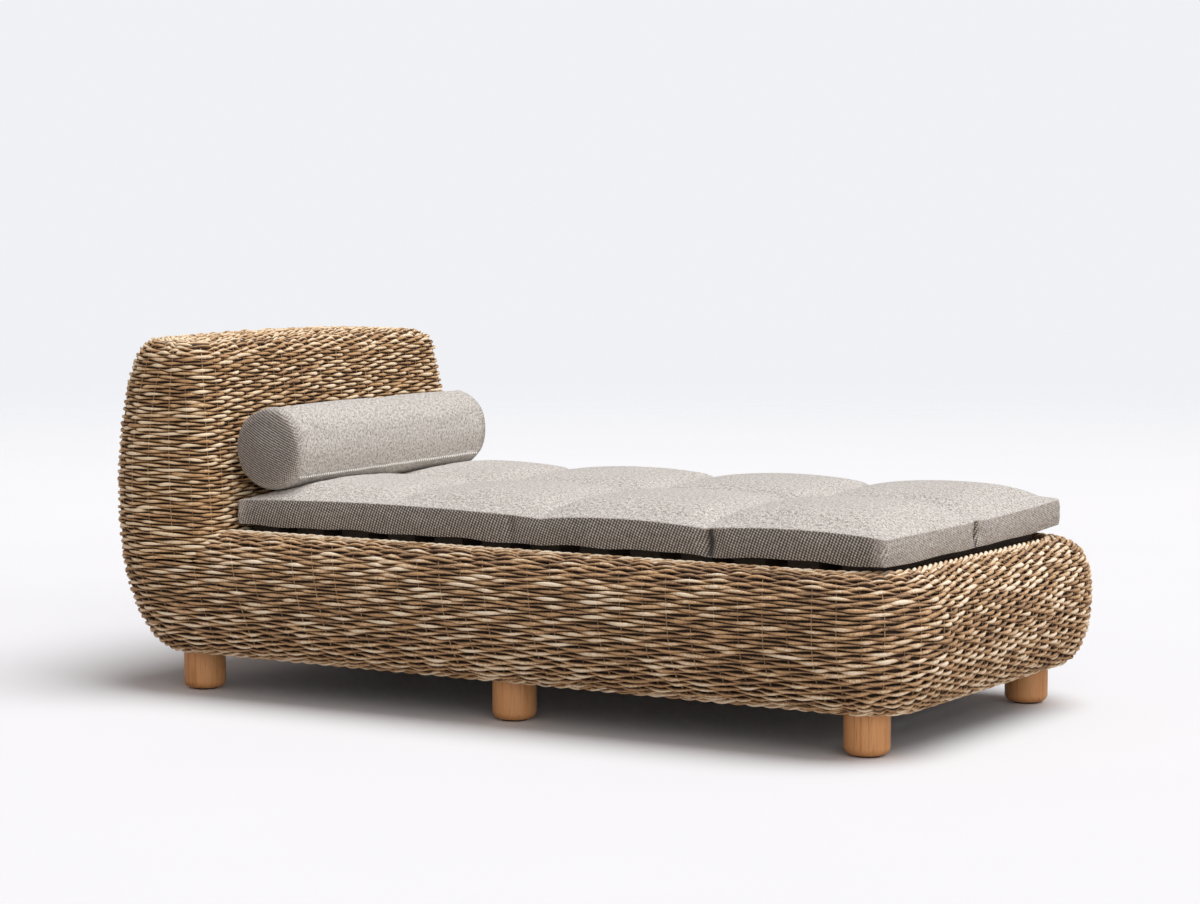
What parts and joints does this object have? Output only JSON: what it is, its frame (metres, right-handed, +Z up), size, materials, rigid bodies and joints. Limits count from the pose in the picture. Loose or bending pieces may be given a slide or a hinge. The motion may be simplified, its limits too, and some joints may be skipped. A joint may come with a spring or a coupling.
{
  "type": "rattan sun lounger",
  "caption": "Woven rattan daybed lounger with a raked headboard, turned wood legs, a quilted mattress and a round bolster.",
  "frame": {"origin": "on the floor, under the middle of the lounger's bounding box", "axes": "+X from the headboard to the foot end, +Y to the left side, +Z up"},
  "size_m": [1.9799, 1.02, 0.765],
  "materials": {
    "rattan": "dry woven rattan, semi-matt",
    "rattan_gold": "dry woven rattan, warmer tone, semi-matt",
    "cane_rope": "twisted cane, matt",
    "frame_timber": "planed hardwood",
    "slat_timber": "planed softwood",
    "leg_timber": "oiled warm hardwood, vertical grain",
    "cane_pole": "smooth cane pole",
    "zinc_steel": "zinc plated",
    "screw_steel": "zinc plated",
    "glide": "felt-faced pad",
    "cover_cloth": "woven boucle cloth",
    "bolster_cloth": "woven boucle cloth",
    "foam": "open-cell foam",
    "zip_chain": "matt",
    "zip_metal": "satin"
  },
  "bodies": {
    "frame": {"base_weave": "rattan", "headboard_weave": "rattan_gold", "rim_rope": "cane_rope", "skirt_rope": "cane_rope", "lower_side_rail_right": "frame_timber", "lower_side_rail_left": "frame_timber", "lower_head_rail": "frame_timber", "lower_mid_rail": "frame_timber", "lower_foot_rail": "frame_timber", "upper_side_rail_right": "frame_timber", "upper_side_rail_left": "frame_timber", "upper_head_rail": "frame_timber", "upper_sill_rail": "frame_timber", "upper_foot_rail": "frame_timber", "spine_beam": "frame_timber", "spine_support": "frame_timber", "frame_posts": "frame_timber", "post_dowels": "frame_timber", "side_ribs_right": "frame_timber", "side_ribs_left": "frame_timber", "foot_ribs": "frame_timber", "head_ribs": "frame_timber", "headboard_formers": "frame_timber", "headboard_poles": "cane_pole", "corner_brackets": "zinc_steel", "bracket_screws": "screw_steel", "deck_slats": "slat_timber", "slat_screws": "screw_steel", "leg_head_right": "leg_timber", "leg_head_left": "leg_timber", "leg_mid_right": "leg_timber", "leg_mid_left": "leg_timber", "leg_foot_right": "leg_timber", "leg_foot_left": "leg_timber", "leg_plates": "zinc_steel", "leg_plate_screws": "screw_steel", "hanger_bolts": "zinc_steel", "leg_glides": "glide"},
    "mattress": {"mattress_cover": "cover_cloth", "mattress_core": "foam", "mattress_zip": "zip_chain"},
    "mattress_zip_slider": {"mattress_zip_slider": "zip_metal"},
    "bolster": {"bolster_cover": "bolster_cloth", "bolster_core": "foam", "bolster_seam": "bolster_cloth", "bolster_zip": "zip_chain"},
    "bolster_zip_slider": {"bolster_zip_slider": "zip_metal"}
  },
  "joints": [
    {"name": "mattress_lift", "type": "slide", "parent": "frame", "child": "mattress", "axis": [0, 0, 1], "range_m": [0, 0.5]},
    {"name": "bolster_lift", "type": "slide", "parent": "mattress", "child": "bolster", "axis": [0, 0, 1], "range_m": [0, 0.3]},
    {"name": "mattress_zip_run", "type": "slide", "parent": "mattress", "child": "mattress_zip_slider", "axis": [0, 1, 0], "range_m": [0, 0.548]},
    {"name": "bolster_zip_run", "type": "slide", "parent": "bolster", "child": "bolster_zip_slider", "axis": [0, 1, 0], "range_m": [0, 0.508]}
  ]
}
